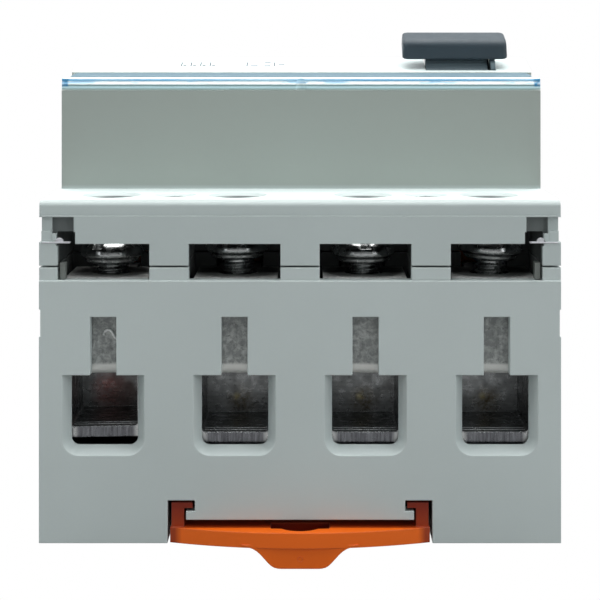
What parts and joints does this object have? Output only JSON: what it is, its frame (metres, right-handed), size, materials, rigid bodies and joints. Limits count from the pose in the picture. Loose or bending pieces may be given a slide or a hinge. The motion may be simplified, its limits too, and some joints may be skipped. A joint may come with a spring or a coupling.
{
  "type": "residual current device",
  "caption": "Modular residual current device for a DIN rail: grey case, dark toggle, clear label window, screw clamps with rising cages, orange rail latch.",
  "frame": {"origin": "on the front plane of the DIN rail, at the middle of the device's width and of its 45 mm nose", "axes": "+X across the width, to the right when the load end is seen with the toggle up; +Y from the load terminals to the line terminals; +Z away from the rail towards the toggle"},
  "size_m": [0.071, 0.0858, 0.0724],
  "materials": {
    "case_grey": "fine satin moulding texture",
    "cover_grey": "fine satin moulding texture",
    "clear_window": "clear, faintly blue, moulded",
    "card_white": "plain card",
    "toggle_grey": "satin dark blue-grey",
    "latch_orange": "satin orange polymer",
    "black_plastic": "satin",
    "zinc_steel": "zinc plated, dulled, with stamping marks",
    "spring_steel": "bright drawn wire",
    "copper": "bare copper",
    "tinned_copper": "dull tin plate over copper",
    "winding_lacquer": "lacquered fine winding",
    "core_alloy": "wound nickel-iron tape",
    "relay_beige": "satin",
    "resistor_body": "lacquered ceramic"
  },
  "bodies": {
    "root": {"base_housing": "case_grey", "front_cover": "cover_grey", "label_card": "card_white", "toggle_pin": "zinc_steel", "toggle_spring": "spring_steel", "test_spring": "spring_steel", "test_resistor": "resistor_body", "mechanism_frame": "zinc_steel", "secondary_winding": "winding_lacquer", "transformer_case": "relay_beige", "transformer_core": "core_alloy", "relay_housing": "black_plastic", "load_terminal_1": "tinned_copper", "line_terminal_1": "tinned_copper", "case_screw_1": "zinc_steel", "primary_wire_1": "copper", "load_terminal_2": "tinned_copper", "line_terminal_2": "tinned_copper", "case_screw_2": "zinc_steel", "primary_wire_2": "copper", "load_terminal_3": "tinned_copper", "line_terminal_3": "tinned_copper", "case_screw_3": "zinc_steel", "primary_wire_3": "copper", "load_terminal_4": "tinned_copper", "line_terminal_4": "tinned_copper", "case_screw_4": "zinc_steel", "primary_wire_4": "copper"},
    "toggle": {"toggle_lever": "toggle_grey"},
    "label_window": {"label_window": "clear_window"},
    "test_button": {"test_button": "toggle_grey"},
    "rail_latch": {"rail_latch": "latch_orange"},
    "contact_carrier": {"contact_carrier": "black_plastic", "drive_link": "zinc_steel", "moving_contact_1": "copper", "moving_contact_2": "copper", "moving_contact_3": "copper", "moving_contact_4": "copper", "contact_spring_1": "spring_steel", "contact_spring_2": "spring_steel", "contact_spring_3": "spring_steel", "contact_spring_4": "spring_steel"},
    "relay_plunger": {"relay_plunger": "zinc_steel"},
    "trip_lever": {"trip_lever": "relay_beige"},
    "load_screw_1": {"load_screw_1": "zinc_steel"},
    "load_cage_1": {"load_cage_1": "zinc_steel"},
    "load_screw_2": {"load_screw_2": "zinc_steel"},
    "load_cage_2": {"load_cage_2": "zinc_steel"},
    "load_screw_3": {"load_screw_3": "zinc_steel"},
    "load_cage_3": {"load_cage_3": "zinc_steel"},
    "load_screw_4": {"load_screw_4": "zinc_steel"},
    "load_cage_4": {"load_cage_4": "zinc_steel"},
    "line_screw_1": {"line_screw_1": "zinc_steel"},
    "line_cage_1": {"line_cage_1": "zinc_steel"},
    "line_screw_2": {"line_screw_2": "zinc_steel"},
    "line_cage_2": {"line_cage_2": "zinc_steel"},
    "line_screw_3": {"line_screw_3": "zinc_steel"},
    "line_cage_3": {"line_cage_3": "zinc_steel"},
    "line_screw_4": {"line_screw_4": "zinc_steel"},
    "line_cage_4": {"line_cage_4": "zinc_steel"}
  },
  "joints": [
    {"name": "toggle_swing", "type": "hinge", "parent": "root", "child": "toggle", "pos_m": [0.0246, 0, 0.052], "axis": [-1, 0, 0], "range_deg": [0, 65.6]},
    {"name": "contact_travel", "type": "slide", "parent": "root", "child": "contact_carrier", "axis": [0, 0, -1], "range_m": [0, 0.00451]},
    {"name": "label_window_lift", "type": "hinge", "parent": "root", "child": "label_window", "pos_m": [0, -0.0137, 0.0604], "axis": [-1, 0, 0], "range_deg": [0, 75]},
    {"name": "test_button_press", "type": "slide", "parent": "root", "child": "test_button", "axis": [0, 0, -1], "range_m": [0, 0.0015], "deforming": ["test_spring"]},
    {"name": "rail_latch_pull", "type": "slide", "parent": "root", "child": "rail_latch", "axis": [0, -1, 0], "range_m": [0, 0.0045]},
    {"name": "trip_lever_swing", "type": "hinge", "parent": "root", "child": "trip_lever", "pos_m": [0.0107, 0, 0.0482], "axis": [0, 1, 0], "range_deg": [0, 13.5]},
    {"name": "relay_plunger_throw", "type": "slide", "parent": "root", "child": "relay_plunger", "axis": [1, 0, 0], "range_m": [0, 0.00141]},
    {"name": "load_screw_1_turn", "type": "hinge", "parent": "root", "child": "load_screw_1", "pos_m": [-0.02676, -0.032, 0.0305], "axis": [0, 0, -1], "range_deg": [-360, 2640]},
    {"name": "load_cage_1_rise", "type": "slide", "parent": "root", "child": "load_cage_1", "axis": [0, 0, 1], "range_m": [-0.0008, 0.00587]},
    {"name": "load_screw_2_turn", "type": "hinge", "parent": "root", "child": "load_screw_2", "pos_m": [-0.00892, -0.032, 0.0305], "axis": [0, 0, -1], "range_deg": [0, 3000]},
    {"name": "load_cage_2_rise", "type": "slide", "parent": "root", "child": "load_cage_2", "axis": [0, 0, 1], "range_m": [0, 0.00667]},
    {"name": "load_screw_3_turn", "type": "hinge", "parent": "root", "child": "load_screw_3", "pos_m": [0.00892, -0.032, 0.0305], "axis": [0, 0, -1], "range_deg": [0, 3000]},
    {"name": "load_cage_3_rise", "type": "slide", "parent": "root", "child": "load_cage_3", "axis": [0, 0, 1], "range_m": [0, 0.00667]},
    {"name": "load_screw_4_turn", "type": "hinge", "parent": "root", "child": "load_screw_4", "pos_m": [0.02676, -0.032, 0.0305], "axis": [0, 0, -1], "range_deg": [0, 3000]},
    {"name": "load_cage_4_rise", "type": "slide", "parent": "root", "child": "load_cage_4", "axis": [0, 0, 1], "range_m": [0, 0.00667]},
    {"name": "line_screw_1_turn", "type": "hinge", "parent": "root", "child": "line_screw_1", "pos_m": [-0.02676, 0.032, 0.0305], "axis": [0, 0, -1], "range_deg": [0, 3000]},
    {"name": "line_cage_1_rise", "type": "slide", "parent": "root", "child": "line_cage_1", "axis": [0, 0, 1], "range_m": [0, 0.00667]},
    {"name": "line_screw_2_turn", "type": "hinge", "parent": "root", "child": "line_screw_2", "pos_m": [-0.00892, 0.032, 0.0305], "axis": [0, 0, -1], "range_deg": [0, 3000]},
    {"name": "line_cage_2_rise", "type": "slide", "parent": "root", "child": "line_cage_2", "axis": [0, 0, 1], "range_m": [0, 0.00667]},
    {"name": "line_screw_3_turn", "type": "hinge", "parent": "root", "child": "line_screw_3", "pos_m": [0.00892, 0.032, 0.0305], "axis": [0, 0, -1], "range_deg": [0, 3000]},
    {"name": "line_cage_3_rise", "type": "slide", "parent": "root", "child": "line_cage_3", "axis": [0, 0, 1], "range_m": [0, 0.00667]},
    {"name": "line_screw_4_turn", "type": "hinge", "parent": "root", "child": "line_screw_4", "pos_m": [0.02676, 0.032, 0.0305], "axis": [0, 0, -1], "range_deg": [0, 3000]},
    {"name": "line_cage_4_rise", "type": "slide", "parent": "root", "child": "line_cage_4", "axis": [0, 0, 1], "range_m": [0, 0.00667]}
  ],
  "couplings": [
    {"joint": "contact_travel", "follows": "toggle_swing", "m_per_rad": 0.0039304},
    {"joint": "relay_plunger_throw", "follows": "trip_lever_swing", "m_per_rad": 0.0059418},
    {"joint": "load_cage_1_rise", "follows": "load_screw_1_turn", "m_per_rad": 0.00012732},
    {"joint": "load_cage_2_rise", "follows": "load_screw_2_turn", "m_per_rad": 0.00012732},
    {"joint": "load_cage_3_rise", "follows": "load_screw_3_turn", "m_per_rad": 0.00012732},
    {"joint": "load_cage_4_rise", "follows": "load_screw_4_turn", "m_per_rad": 0.00012732},
    {"joint": "line_cage_1_rise", "follows": "line_screw_1_turn", "m_per_rad": 0.00012732},
    {"joint": "line_cage_2_rise", "follows": "line_screw_2_turn", "m_per_rad": 0.00012732},
    {"joint": "line_cage_3_rise", "follows": "line_screw_3_turn", "m_per_rad": 0.00012732},
    {"joint": "line_cage_4_rise", "follows": "line_screw_4_turn", "m_per_rad": 0.00012732}
  ]
}
